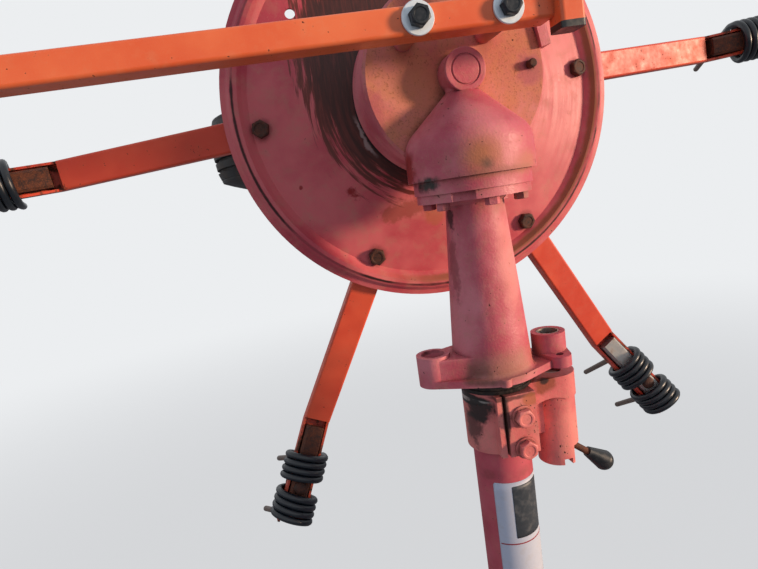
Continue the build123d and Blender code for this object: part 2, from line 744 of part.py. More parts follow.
for number in range(1, arm_count + 1):
    angle = radians(arm_start_angle + (number - 1) * 360 / arm_count)
    slope = radians(arm_slope)
    outward = Vector(cos(angle), 0, sin(angle))
    back = Vector(0, 1, 0)
    along = outward * cos(slope) + back * sin(slope)
    square = back * cos(slope) - outward * sin(slope)
    # The arm's own plane: local x outward along its middle, from the bolt circle, local y to its back
    foot = Vector(0, rotor_set + arm_front, rotor_height) + outward * bolt_circle_r
    arm_plane = Plane(origin=foot + square * (arm_depth / 2), x_dir=along, z_dir=along.cross(square))
    arm_face = Plane(
        origin=arm_plane.from_local_coords((arm_bend, -arm_depth / 2, 0)), x_dir=along, z_dir=-square
    )
    # The open end's plane: local x outward from the bend, local y to its back
    end_plane = Plane(
        origin=arm_plane.from_local_coords((arm_bend, 0, 0)),
        x_dir=along * cos(bend) - square * sin(bend),
        z_dir=arm_plane.z_dir,
    )

    with BuildPart() as arm:
        with BuildSketch(arm_plane):
            with BuildLine():
                Polyline(
                    *arm_side(arm_inner, arm_end_length, -arm_depth / 2, arm_depth / 2), close=True
                )
            make_face()
        extrude(amount=arm_width / 2, both=True)
        fillet([edge for edge in arm.edges() if edge.length > arm_end_length - arm_depth], arm_corner)
        with BuildSketch(arm_plane):
            with BuildLine():
                inner_face = arm_depth / 2 - arm_wall
                Polyline(
                    *arm_side(arm_inner - arm_wall, arm_end_length + arm_wall, -inner_face, inner_face),
                    close=True,
                )
            make_face()
        extrude(amount=arm_width / 2 - arm_wall, both=True, mode=Mode.SUBTRACT)
        with BuildSketch(end_plane):
            with Locations((arm_end_length / 2, -arm_depth / 2 - arm_wall / 2)):
                Rectangle(arm_end_length + 2 * arm_wall, 3 * arm_wall)
        extrude(amount=arm_width, both=True, mode=Mode.SUBTRACT)
        with BuildSketch(arm_face):
            with BuildLine():
                Line((0, arm_width / 2 - open_corner), (0, arm_width / 2))
                Line((0, arm_width / 2), (-open_corner, arm_width / 2))
                RadiusArc(
                    (-open_corner, arm_width / 2), (0, arm_width / 2 - open_corner), open_corner
                )
            make_face()
        extrude(amount=-arm_wall, mode=Mode.SUBTRACT)
    arm.part.label = f"arm_{number}"
    export_step(arm.part, f"parts/arm_{number}.step")

    clip_place = Plane(
        origin=end_plane.from_local_coords((clip_start, 0, 0)),
        x_dir=end_plane.y_dir,
        z_dir=end_plane.x_dir,
    )
    with BuildPart() as clip:
        with BuildSketch(clip_place):
            with Locations((-(clip_front + clip_seat) / 2, 0)):
                Rectangle(clip_front - clip_seat, clip_width)
            chamfer([v for v in vertices() if v.X < -clip_front + 1], clip_bevel)
            with Locations((-seat_gap, 0)):
                Rectangle(arm_depth - 2 * arm_wall, tongue_width)
        extrude(amount=clip_end - clip_start)
    clip.part.label = f"tine_clip_{number}"
    export_step(clip.part, f"parts/tine_clip_{number}.step")

    # Double tine, one wire: leg, coil, bridge over the clip, coil, leg
    with BuildPart() as tine:
        with BuildLine() as wire:
            for coil_start, step in ((inner_coil, -coil_pitch), (outer_coil, coil_pitch)):
                for turn in range(coil_turns):
                    x = coil_start + turn * step
                    front_point = end_plane.from_local_coords((x, -coil_mid_r, 0))
                    top_point = end_plane.from_local_coords((x + step / 4, 0, coil_swell))
                    back_point = end_plane.from_local_coords((x + step / 2, coil_mid_r, 0))
                    low_point = end_plane.from_local_coords((x + step * 3 / 4, 0, -coil_swell))
                    next_point = end_plane.from_local_coords((x + step, -coil_mid_r, 0))
                    ThreePointArc(front_point, top_point, back_point)
                    ThreePointArc(back_point, low_point, next_point)
                x = coil_start + coil_turns * step
                eighth = Vector(0, -sin(radians(45)), cos(radians(45))) * coil_mid_r  # of a turn
                leg_root = Vector(x, 0, coil_mid_r)
                ThreePointArc(
                    next_point,
                    end_plane.from_local_coords(Vector(x, 0, 0) + eighth),
                    end_plane.from_local_coords(leg_root),
                )
                FilletPolyline(
                    end_plane.from_local_coords(leg_root),
                    end_plane.from_local_coords(leg_root + Vector(0, leg_drop, 0)),
                    end_plane.from_local_coords(leg_root + leg_tip),
                    radius=leg_round,
                )
            bridge = [
                (inner_coil, -coil_mid_r, 0),
                (inner_coil, -coil_mid_r, bridge_corner),
                (inner_coil + bridge_step, -bridge_seat, bridge_lean),
                (outer_coil - bridge_step, -bridge_seat, bridge_lean),
                (outer_coil, -coil_mid_r, bridge_corner),
                (outer_coil, -coil_mid_r, 0),
            ]
            FilletPolyline(*[end_plane.from_local_coords(p) for p in bridge], radius=bridge_round)
        tine_line = wire.wire()
        with BuildSketch(Plane(origin=tine_line @ 0, z_dir=tine_line % 0)):
            Circle(tine_wire_r)
        sweep(path=tine_line)
    tine.part.label = f"tine_{number}"
    export_step(tine.part, f"parts/tine_{number}.step")
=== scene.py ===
# A hay tedder's rotor unit, dressed over its solids: faded enamel, rust, grease, bolts and washers.
# Metres, in the frame of the solids: X along the fold hinge, Y along the rotor's axis, Z up the boom.
import json
import math

import bmesh
import bpy
from mathutils import Matrix, Vector


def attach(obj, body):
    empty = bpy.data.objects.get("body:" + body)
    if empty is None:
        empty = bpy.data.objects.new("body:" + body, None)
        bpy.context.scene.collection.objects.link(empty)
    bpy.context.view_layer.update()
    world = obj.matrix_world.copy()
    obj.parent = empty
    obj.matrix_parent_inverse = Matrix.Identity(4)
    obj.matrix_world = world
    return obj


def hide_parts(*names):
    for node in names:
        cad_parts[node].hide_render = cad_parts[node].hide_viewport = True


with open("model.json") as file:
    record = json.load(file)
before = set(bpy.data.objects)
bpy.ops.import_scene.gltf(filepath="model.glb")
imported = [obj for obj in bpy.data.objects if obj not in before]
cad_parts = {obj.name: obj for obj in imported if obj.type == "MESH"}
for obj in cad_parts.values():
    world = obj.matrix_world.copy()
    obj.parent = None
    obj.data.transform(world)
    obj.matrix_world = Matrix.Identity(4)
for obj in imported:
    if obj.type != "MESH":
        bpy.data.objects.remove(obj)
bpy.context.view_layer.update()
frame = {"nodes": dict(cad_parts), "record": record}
nodes = frame["nodes"]
scene = bpy.context.scene
print("solids in place:", len(nodes))

rotorHeight = 0.8  # metres, rotor axis above the fold hinge
armCount = 6
armStart = 3.9  # degrees, first arm and first bolt of the disc
armSlope = 11.1  # degrees, disc and arms lean to the tine side
boltCircle = 208  # mm, radius of the disc's bolts and of the arms' feet


def srgb(code):
    # sRGB hex to linear, with alpha
    parts = [int(code[i:i + 2], 16) / 255 for i in (1, 3, 5)]
    return [p / 12.92 if p <= 0.04045 else ((p + 0.055) / 1.055) ** 2.4 for p in parts] + [1.0]


def add(tree, kind, feeds=None, **settings):
    # One node with its settings, its plain values and its links
    node = tree.nodes.new("ShaderNode" + kind)
    for name, value in settings.items():
        setattr(node, name, value)
    for socket, value in (feeds or {}).items():
        if isinstance(value, bpy.types.NodeSocket):
            tree.links.new(value, node.inputs[socket])
        else:
            node.inputs[socket].default_value = value
    return node


# View, floor and light
view = {
    "place": (-0.20868, -0.54075, 0.69286),
    "forward": (0.1676, 0.9710, -0.1707),
    "up": (0.1729, 0.1415, 0.9747),
    "lens": 25.04,  # mm, on a sensor this wide
    "sensor": 36,
    "nearest": 0.01,
}
studio = {
    "backdrop": "#ECEEF0",
    "floor": "#B4AFA8",
    "floorGlow": 0.72,  # share of the backdrop's own tone in the floor, as the camera sees it
    "floorHeight": -0.05,
    "floorReach": 30.0,
    "fade": (0.9, 3.2),  # metres from the object, where the floor turns into the backdrop
    "sky": "#C4D0EA",
    "skyPower": 0.68,
    "sunTravel": (-0.863, 0.498, -0.087),  # nearly level, from the right on the boom side
    "sunColour": "#FFDFC0",
    "sunPower": 4.0,
    "sunAngle": 9.0,  # degrees, as wide as a studio softbox across the room
}


def buildView(spec):
    camera = bpy.data.objects.new("camera", bpy.data.cameras.new("camera"))
    scene.collection.objects.link(camera)
    forward = Vector(spec["forward"]).normalized()
    right = forward.cross(Vector(spec["up"])).normalized()
    up = right.cross(forward)
    turn = Matrix((right, up, -forward)).transposed().to_4x4()
    camera.matrix_world = Matrix.Translation(spec["place"]) @ turn
    camera.data.lens = spec["lens"]
    camera.data.sensor_width = spec["sensor"]
    camera.data.clip_start = spec["nearest"]
    scene.camera = camera


def buildStudio(spec):
    bpy.ops.mesh.primitive_plane_add(size=2 * spec["floorReach"], location=(0, 0, spec["floorHeight"]))
    floor = bpy.context.object
    floor.name = "floor"
    sheet = bpy.data.materials.new("matt_floor_sheet")  # pale, so that it throws soft light back up
    sheet.use_nodes = True
    tree = sheet.node_tree
    tree.nodes.clear()
    where = add(tree, "TexCoord").outputs["Object"]
    far = add(tree, "VectorMath", {0: where}, operation="LENGTH").outputs["Value"]
    fade = add(tree, "MapRange", {0: far, 1: spec["fade"][0], 2: spec["fade"][1]},
               interpolation_type="SMOOTHSTEP").outputs[0]
    matt = add(tree, "BsdfDiffuse", {0: srgb(spec["floor"])}).outputs[0]
    glow = add(tree, "Emission", {0: srgb(spec["backdrop"]), 1: 1.0}).outputs[0]
    seen = add(tree, "LightPath").outputs["Is Camera Ray"]
    paler = add(tree, "MapRange", {0: fade, 3: spec["floorGlow"], 4: 1.0}).outputs[0]
    share = add(tree, "Math", {0: paler, 1: seen}, operation="MULTIPLY").outputs[0]
    both = add(tree, "MixShader", {0: share, 1: matt, 2: glow}).outputs[0]
    add(tree, "OutputMaterial", {0: both})
    floor.data.materials.append(sheet)

    world = bpy.data.worlds.new("studio")
    scene.world = world
    world.use_nodes = True
    tree = world.node_tree
    tree.nodes.clear()
    path = add(tree, "LightPath")
    seen = add(tree, "Math", {0: path.outputs["Is Camera Ray"], 1: path.outputs["Is Glossy Ray"]},
               operation="MAXIMUM").outputs[0]
    seen = add(tree, "Math", {0: seen, 1: path.outputs["Is Transmission Ray"]},
               operation="MAXIMUM").outputs[0]
    skyGlow = add(tree, "Background", {0: srgb(spec["sky"]), 1: spec["skyPower"]}).outputs[0]
    backGlow = add(tree, "Background", {0: srgb(spec["backdrop"]), 1: 1.0}).outputs[0]
    both = add(tree, "MixShader", {0: seen, 1: skyGlow, 2: backGlow}).outputs[0]
    add(tree, "OutputWorld", {0: both})

    sun = bpy.data.objects.new("sun", bpy.data.lights.new("sun", "SUN"))
    scene.collection.objects.link(sun)
    sun.rotation_euler = Vector(spec["sunTravel"]).to_track_quat("-Z", "Y").to_euler()
    sun.data.color = srgb(spec["sunColour"])[:3]
    sun.data.energy = spec["sunPower"]
    sun.data.angle = math.radians(spec["sunAngle"])
    scene.view_settings.view_transform = "Standard"


buildView(view)
buildStudio(studio)
print("view, floor and light set")


# Finishes. Lengths in millimetres, colours sRGB, masks from 0 to 1.
def startFinish(name, mottles):
    # A new material and its cloudy patterns, each by its size, detail and roughness
    finish = bpy.data.materials.new(name)
    finish.use_nodes = True
    tree = finish.node_tree
    tree.nodes.clear()
    where = add(tree, "TexCoord").outputs["Object"]
    patterns = []
    for size, detail, rough in mottles:
        noise = add(tree, "TexNoise", {"Vector": where, "Scale": 1000 / size, "Detail": detail, "Roughness": rough})
        patterns.append(noise.outputs[0])
    return finish, tree, where, patterns


def groundCoat(tree, look, tone, gloss, grain, rise):
    # The finish before wear: two tones, and gloss and height that follow the patterns
    low, high = look["rough"]
    tones = add(tree, "Mix", {0: tone, 6: srgb(look["deep"]), 7: srgb(look["pale"])}, data_type="RGBA")
    return {
        "colour": tones.outputs[2],
        "rough": add(tree, "MapRange", {0: gloss, 1: 0.3, 2: 0.7, 3: low, 4: high}).outputs[0],
        "height": add(tree, "Math", {0: grain, 1: rise}, operation="MULTIPLY").outputs[0],
    }


def overlay(tree, state, mask, colour, roughness, rise=0.0):
    # One more layer over colour, roughness and height
    colour = srgb(colour) if isinstance(colour, str) else colour
    return {
        "colour": add(tree, "Mix", {0: mask, 6: state["colour"], 7: colour}, data_type="RGBA").outputs[2],
        "rough": add(tree, "Mix", {0: mask, 2: state["rough"], 3: roughness}).outputs[0],
        "height": add(tree, "Math", {0: mask, 1: rise, 2: state["height"]}, operation="MULTIPLY_ADD").outputs[0],
    }


def dusted(tree, state, pattern, span, depth, colour, roughness):
    # A film that lies only where the pattern is high
    mask = add(tree, "MapRange", {0: pattern, 1: span[0], 2: span[1], 3: 0.0, 4: depth}).outputs[0]
    return overlay(tree, state, mask, colour, roughness)


def spotted(tree, state, where, ragged, spots):
    # Soft stains at their places on the piece, their edges broken up by the mottling
    for spot in spots:
        centre = [v / 1000 for v in spot["at"]]
        reach = [v / 1000 for v in spot["reach"]]
        tear = spot.get("ragged", 1.2)
        off = add(tree, "VectorMath", {0: where, 1: centre}, operation="SUBTRACT").outputs[0]
        off = add(tree, "VectorMath", {0: off, 1: reach}, operation="DIVIDE").outputs[0]
        far = add(tree, "VectorMath", {0: off}, operation="LENGTH").outputs["Value"]
        far = add(tree, "Math", {0: ragged, 1: tear, 2: far}, operation="MULTIPLY_ADD").outputs[0]
        rim = 1.0 + tear / 2
        mask = add(tree, "MapRange", {0: far, 1: rim, 2: rim - spot.get("soft", 0.5), 3: 0.0,
                                      4: spot.get("depth", 1.0)}, interpolation_type="SMOOTHSTEP").outputs[0]
        state = overlay(tree, state, mask, spot["colour"], spot.get("rough", 0.8))
    return state


def chipped(tree, state, middle, flake, look):
    # Small chips in clusters, rust below the paint
    flake = add(tree, "Math", {0: middle, 1: look["chipCluster"], 2: flake}, operation="MULTIPLY_ADD").outputs[0]
    chips = add(tree, "MapRange", {0: flake, 1: look["chipEdge"], 2: look["chipEdge"] + 0.03}).outputs[0]
    return overlay(tree, state, chips, look["rust"], 0.9, -look["chipDrop"])


def endFinish(tree, state, bump, **sockets):
    # Bump in millimetres, and the shader with its constant values straight on its sockets
    bump = add(tree, "Bump", {"Height": state["height"], "Distance": bump / 1000, "Strength": 1.0}).outputs[0]
    feeds = {"Base Color": state["colour"], "Roughness": state["rough"], "Normal": bump}
    feeds.update(sockets)
    shader = add(tree, "BsdfPrincipled", feeds).outputs[0]
    add(tree, "OutputMaterial", {0: shader})


finishes = {}


def enamel(name, look):
    # Enamel sprayed on iron: two tones cloud into each other under dust, with chips and dirty corners
    finish, tree, where, (broad, middle, fine, flake) = startFinish(name, [
        (look["cloud"], 4.0, 0.55), (look["blotch"], 4.0, 0.6),
        (look["grain"], 2.0, 0.6), (look["chip"], 2.0, 0.6)])
    tone = add(tree, "MapRange", {0: broad, 1: 0.36, 2: 0.64}, interpolation_type="SMOOTHSTEP").outputs[0]
    state = groundCoat(tree, look, tone, middle, fine, look["grainRise"])
    # Chalky specks in the grain of the casting, and a thin film in clouds
    state = dusted(tree, state, fine, (0.5, 0.75), look["speck"], look["dust"], 0.85)
    state = dusted(tree, state, middle, (0.52, 0.72), look["film"], look["dust"], 0.8)
    for cover in look.get("covers", []):
        # Dust on a flat that lies between two heights along one axis, and pits in it
        along = add(tree, "SeparateXYZ", {0: where}).outputs[cover["axis"]]
        band = add(tree, "MapRange", {0: along, 1: cover["from"] / 1000, 2: cover["to"] / 1000, 3: 0.0,
                                      4: cover["depth"]}, interpolation_type="SMOOTHSTEP").outputs[0]
        thick = add(tree, "MapRange", {0: middle, 1: 0.3, 2: 0.62, 3: 0.45, 4: 1.0}).outputs[0]
        faces = add(tree, "SeparateXYZ", {0: add(tree, "TexCoord").outputs["Normal"]}).outputs[cover["axis"]]
        flat = add(tree, "MapRange", {0: faces, 1: -0.6, 2: -0.95}).outputs[0]
        for share in (thick, flat):
            band = add(tree, "Math", {0: band, 1: share}, operation="MULTIPLY").outputs[0]
        state = overlay(tree, state, band, cover["colour"], 0.9)
        grit = add(tree, "MapRange", {0: fine, 1: 0.56, 2: 0.68, 3: 0.0, 4: 0.6}).outputs[0]
        pits = add(tree, "Math", {0: band, 1: grit}, operation="MULTIPLY").outputs[0]
        state = overlay(tree, state, pits, cover["pits"], 0.9, -0.5)
    state = spotted(tree, state, where, middle, look.get("spots", []))
    state = chipped(tree, state, middle, flake, look)
    # Painted shade in the corners, with the dirt that rain doesn't reach there: darker brown where the surface
    # closes in
    openness = add(tree, "AmbientOcclusion", {"Distance": look["corner"] / 1000}, samples=4).outputs["AO"]
    shadeAndDirt = add(tree, "Math", {0: middle, 1: -0.5, 2: openness}, operation="MULTIPLY_ADD").outputs[0]
    shadeAndDirt = add(tree, "MapRange", {0: shadeAndDirt, 1: 0.5, 2: 0.05, 3: 0.0, 4: look["cornerShadeAndDirt"]}).outputs[0]
    state = overlay(tree, state, shadeAndDirt, look["shadeAndDirt"], 0.9)
    endFinish(tree, state, look["bump"])
    return finish


# Sprayed over sand-cast iron and bleached for years: chalky pink-red with a dull sheen, and the sand's
# grain under it. That grain is about 1 mm and is drawn at 2.4, so that it shows.
castLook = {
    "deep": "#C04E5C", "pale": "#DE8084", "rough": (0.44, 0.62), "cloud": 70, "blotch": 16, "grain": 2.4,
    "grainRise": 1.0, "dust": "#B98A6E", "speck": 0.28, "film": 0.30, "chip": 4.0, "chipCluster": 0.45,
    # Its corner reach, colour and depth give painted shade, with dirt, in the corners
    "chipEdge": 0.985, "chipDrop": 1.2, "rust": "#3C1A12", "corner": 14, "shadeAndDirt": "#4A2A1E", "cornerShadeAndDirt": 0.75,
    "bump": 0.35,
}
# The gearbox: its flat cover is tan with dust, oil and rust have run over the bell and its flange
gearboxLook = dict(castLook, covers=[
    {"axis": 1, "from": 3, "to": 7, "depth": 0.85, "colour": "#D28862", "pits": "#8A4A32"},
], spots=[
    {"at": (-12, -62, 714), "reach": (31, 40, 30), "colour": "#B87448", "depth": 0.85, "soft": 0.9, "ragged": 0.7},
    {"at": (34, -50, 702), "reach": (34, 40, 16), "colour": "#B9805C", "depth": 0.5, "soft": 0.9},
    {"at": (-8, -62, 704), "reach": (10, 20, 11), "colour": "#54483C", "depth": 0.75, "soft": 0.9},
    {"at": (-56, -20, 822), "reach": (20, 34, 20), "colour": "#A8684A", "depth": 0.9, "ragged": 0.4},
    {"at": (31, -20, 822), "reach": (20, 34, 20), "colour": "#A8684A", "depth": 0.9, "ragged": 0.4},
    {"at": (0, -62, 696), "reach": (70, 40, 7), "colour": "#9A6A52", "depth": 0.5, "soft": 0.9},
    {"at": (-60, -30, 692), "reach": (16, 30, 10), "colour": "#17100E", "rough": 0.35, "ragged": 1.6},
    {"at": (-64, 0, 712), "reach": (12, 22, 22), "colour": "#9A2A22", "depth": 0.9, "rough": 0.3},
    {"at": (-92, 20, 770), "reach": (14, 20, 60), "colour": "#B0505A", "depth": 0.5},
    {"at": (-44, 8, 792), "reach": (30, 6, 30), "colour": "#D9895F", "depth": 0.5},
    {"at": (82, 8, 803), "reach": (9, 6, 9), "colour": "#2A1712"},
    {"at": (82, 8, 797), "reach": (20, 6, 20), "colour": "#B9606A", "depth": 0.6},
])
# The swivel's column and eyes: water stands on the foot, rust runs down the left side
swivelLook = dict(castLook, spots=[
    {"at": (-38, -30, 655), "reach": (14, 20, 22), "colour": "#5E2A22", "depth": 0.6},
    {"at": (0, -40, 487), "reach": (60, 30, 9), "colour": "#A46C5A", "depth": 0.55, "soft": 0.9},
    {"at": (-26, -44, 482), "reach": (26, 30, 7), "colour": "#55352A", "depth": 0.7, "soft": 0.8},
    # brown stain just under the flange, darkened there as painted shade under the flange
    {"at": (30, -30, 668), "reach": (40, 30, 22), "colour": "#8E6A4E", "depth": 0.55, "soft": 0.9},
    {"at": (20, -36, 600), "reach": (20, 30, 60), "colour": "#DE8A80", "depth": 0.5},
    {"at": (0, -36, 496), "reach": (60, 40, 26), "colour": "#8C6A44", "depth": 0.55, "soft": 0.9, "ragged": 0.8},
    {"at": (-30, -34, 492), "reach": (22, 24, 18), "colour": "#5E4630", "depth": 0.6, "soft": 0.9},
    {"at": (44, -20, 500), "reach": (16, 24, 30), "colour": "#8E6A40", "depth": 0.7, "soft": 0.9},
    {"at": (-33, -8, 655), "reach": (4, 12, 20), "colour": "#2A1412", "depth": 0.85, "ragged": 2.6},
    {"at": (-34, -10, 600), "reach": (4, 10, 40), "colour": "#7A2A26", "depth": 0.5, "ragged": 3.2},
    {"at": (-10, -34, 560), "reach": (5, 20, 40), "colour": "#B4505A", "depth": 0.6, "ragged": 2.0},
    {"at": (-67, 0, 510), "reach": (17, 17, 5), "colour": "#4A2018", "depth": 0.9},
    {"at": (70, 0, 510), "reach": (17, 17, 5), "colour": "#4A2018", "depth": 0.9},
])
# The clamp: black grease and a worn bright line at the joint, rust round bolts and lever, black grease on its left
# below the eye that is darkened further as painted shadow of the eye, and a painted shadow beside the bolt block
clampLook = dict(castLook, deep="#CC5A5C", pale="#E8847A", chipEdge=0.96, spots=[
    {"at": (-46, 0, 456), "reach": (38, 60, 8), "colour": "#140F0E", "rough": 0.4, "ragged": 0.5, "soft": 0.2},
    {"at": (-46, 0, 455), "reach": (38, 60, 2.8), "colour": "#C9C0B2", "depth": 0.9, "rough": 0.5, "ragged": 0.5,
     "soft": 0.3},
    # black grease below the left eye, made darker as painted shadow of the eye
    {"at": (-28, -20, 446), "reach": (26, 26, 17), "colour": "#1B1413", "depth": 0.97, "rough": 0.38,
     "ragged": 2.0},
    {"at": (-34, -10, 424), "reach": (14, 20, 30), "colour": "#2A1A17", "depth": 0.8, "rough": 0.4, "ragged": 2.2},
    {"at": (0, -40, 461), "reach": (50, 14, 4), "colour": "#3A1C16", "depth": 0.8, "rough": 0.5},
    {"at": (9, -48, 439), "reach": (15, 8, 15), "colour": "#7A3A2C", "depth": 0.6, "ragged": 1.6},
    {"at": (9, -48, 403), "reach": (15, 8, 15), "colour": "#7A3A2C", "depth": 0.6, "ragged": 1.6},
    # painted shadow: a dark strip in the gap beside the bolt block
    {"at": (-9, -46, 440), "reach": (5, 12, 40), "colour": "#231514", "depth": 0.9},
    {"at": (20, -46, 455), "reach": (14, 8, 10), "colour": "#B4653A", "depth": 0.75},
    {"at": (48, -28, 460), "reach": (16, 14, 14), "colour": "#8E4326", "depth": 0.85},
    {"at": (48, -28, 464), "reach": (7, 12, 6), "colour": "#1C1211", "depth": 0.9},
])
# Drawn tube instead of a casting: the same enamel, deeper and smoother
boomLook = dict(castLook, deep="#B23C4A", pale="#C85560", grainRise=0.2, speck=0.12, film=0.16,
                chipEdge=0.99, spots=[
                    {"at": (0, 0, 366), "reach": (40, 40, 14), "colour": "#7A3A34", "depth": 0.5},
                    {"at": (0, 0, 124), "reach": (60, 60, 12), "colour": "#6A4434", "depth": 0.7},
                ])
# Baked on smooth drawn tube: an even orange-red skin with a satin sheen; its peel is drawn at 1.6 mm to show
armLook = {
    "deep": "#D2452A", "pale": "#E65C3A", "rough": (0.40, 0.60), "cloud": 110, "blotch": 14, "grain": 1.6,
    "grainRise": 0.18, "dust": "#C9805C", "speck": 0.12, "film": 0.10, "chip": 3.5, "chipCluster": 0.45,
    # Its corner reach, colour and depth give painted shade, with dirt, in the corners
    "chipEdge": 0.975, "chipDrop": 0.8, "rust": "#4A1C12", "corner": 8, "shadeAndDirt": "#5A2418", "cornerShadeAndDirt": 0.7,
    "bump": 0.2, "openFrom": (484, 492), "burnt": ("#3A1C14", "#8A5236"),
}
# The guard was painted over later with a brush: a brighter, glossier orange
guardLook = dict(armLook, deep="#E4602F", pale="#F07844", rough=(0.28, 0.46), dust="#D8A079", speck=0.08,
                 film=0.16, chipEdge=0.985, cornerShadeAndDirt=0.5)
# Pale enamel on the pressed rim, chipped and dirty from the ground
rimLook = dict(armLook, deep="#C9C2B2", pale="#E0DBCF", rough=(0.38, 0.56), dust="#8E7A62", speck=0.2, film=0.5,
               chipEdge=0.93, rust="#5A3020")
finishes["gearbox"] = enamel("sprayed_enamel_gearbox", gearboxLook)
finishes["swivel"] = enamel("sprayed_enamel_swivel_casting", swivelLook)
finishes["clamp"] = enamel("sprayed_enamel_clamp", clampLook)
finishes["boom"] = enamel("sprayed_enamel_boom", boomLook)
finishes["guard"] = enamel("brushed_enamel_guard", guardLook)
finishes["rim"] = enamel("sprayed_enamel_pale_rim", rimLook)


def armEnamel(name, look):
    # Baked enamel that the coils have rubbed off the open ends, rusty there
    finish, tree, where, (broad, middle, fine, flake) = startFinish(name, [
        (look["cloud"], 3.0, 0.55), (look["blotch"], 4.0, 0.6),
        (look["grain"], 2.0, 0.55), (look["chip"], 2.0, 0.6)])
    tone = add(tree, "MapRange", {0: broad, 1: 0.38, 2: 0.62}, interpolation_type="SMOOTHSTEP").outputs[0]
    state = groundCoat(tree, look, tone, middle, fine, look["grainRise"])
    state = dusted(tree, state, middle, (0.52, 0.72), look["film"], look["dust"], 0.8)
    off = add(tree, "VectorMath", {0: where, 1: (0.0, 0.0, rotorHeight)}, operation="SUBTRACT").outputs[0]
    off = add(tree, "VectorMath", {0: off, 1: (1.0, 0.0, 1.0)}, operation="MULTIPLY").outputs[0]
    far = add(tree, "VectorMath", {0: off}, operation="LENGTH").outputs["Value"]
    frayed = add(tree, "Math", {0: middle, 1: 0.05, 2: far}, operation="MULTIPLY_ADD").outputs[0]
    openEnd = add(tree, "MapRange", {0: frayed, 1: look["openFrom"][0] / 1000, 2: look["openFrom"][1] / 1000},
                  interpolation_type="SMOOTHSTEP").outputs[0]
    rubbed = add(tree, "MapRange", {0: middle, 1: 0.5, 2: 0.6}).outputs[0]
    worn = add(tree, "Math", {0: openEnd, 1: rubbed}, operation="MULTIPLY").outputs[0]
    dark, light = look["burnt"]
    rustTone = add(tree, "Mix", {0: fine, 6: srgb(dark), 7: srgb(light)}, data_type="RGBA").outputs[2]
    state = overlay(tree, state, worn, rustTone, 0.85, 0.3)
    state = chipped(tree, state, middle, flake, look)
    endFinish(tree, state, look["bump"])
    return finish


finishes["arm"] = armEnamel("baked_enamel_arms", armLook)

# Baked on a disc spun from sheet: satin red with faint rings, darkened by old grease. The spinning
# tool's marks are under 1 mm apart and are drawn at 6, so that they show.
discLook = {
    "deep": "#BE424F", "pale": "#D96A6C", "rough": (0.42, 0.58), "cloud": 120, "blotch": 18, "grain": 1.8,
    "grainRise": 0.2, "dust": "#BE8A72", "film": 0.35, "speck": 0.25, "chip": 3.5, "chipCluster": 0.5,
    "chipEdge": 1.03, "chipDrop": 0.8, "rust": "#3E1A13", "bump": 0.25,
    "marks": (1.6, 170.0),  # of the spinning tool, per radian round and per metre out
    "drips": (260.0, 22.0),  # of rain in the grease, per metre across and down
    "swirl": (139, 21, 62),  # grease ends this far out to the left, and less and more per radian below and above
    "swirlEnds": (-1.95, -1.0, 1.5, 2.3),  # radians from the left, upwards
    "grease": "#35110C", "brushed": "#6E2A20",
    # painted shade: black in the gap between the cover and the hub
    "gapShade": (97.5, 95.5), "gapShadeColour": "#0A0606",
    "bright": 100.5, "brightTurn": -0.43, "brightColour": "#A8928C",
    "crest": 236.2, "crestColour": "#22110E", "groove": 228.5, "grooveColour": "#8C5C34",
    "spots": [
        # Rusty runs to the right of the gearbox, where water leaves its cover, and two red touch-ups
        {"at": (124, 108, 745), "reach": (4, 40, 46), "colour": "#B06A3C", "depth": 0.75, "ragged": 2.4},
        {"at": (116, 108, 700), "reach": (4, 40, 30), "colour": "#A85C38", "depth": 0.6, "ragged": 2.4},
        {"at": (160, 110, 880), "reach": (8, 40, 26), "colour": "#B0603C", "depth": 0.5, "ragged": 2.2},
        {"at": (-109, 122, 694), "reach": (9, 40, 9), "colour": "#8E1E1C", "depth": 0.95, "ragged": 3.2},
        {"at": (-173, 122, 712), "reach": (3.5, 40, 4), "colour": "#8E2220", "depth": 0.9, "ragged": 2.0},
        {"at": (-44, 118, 668), "reach": (46, 40, 18), "colour": "#8A4026", "depth": 0.6, "ragged": 2.8},
        {"at": (-12, 115, 656), "reach": (20, 40, 16), "colour": "#B5643C", "depth": 0.6, "ragged": 1.6},
    ],
}


def awayFrom(tree, value, centre):
    # How far a value is from the middle of a band
    off = add(tree, "Math", {0: value, 1: -centre}, operation="ADD").outputs[0]
    return add(tree, "Math", {0: off}, operation="ABSOLUTE").outputs[0]


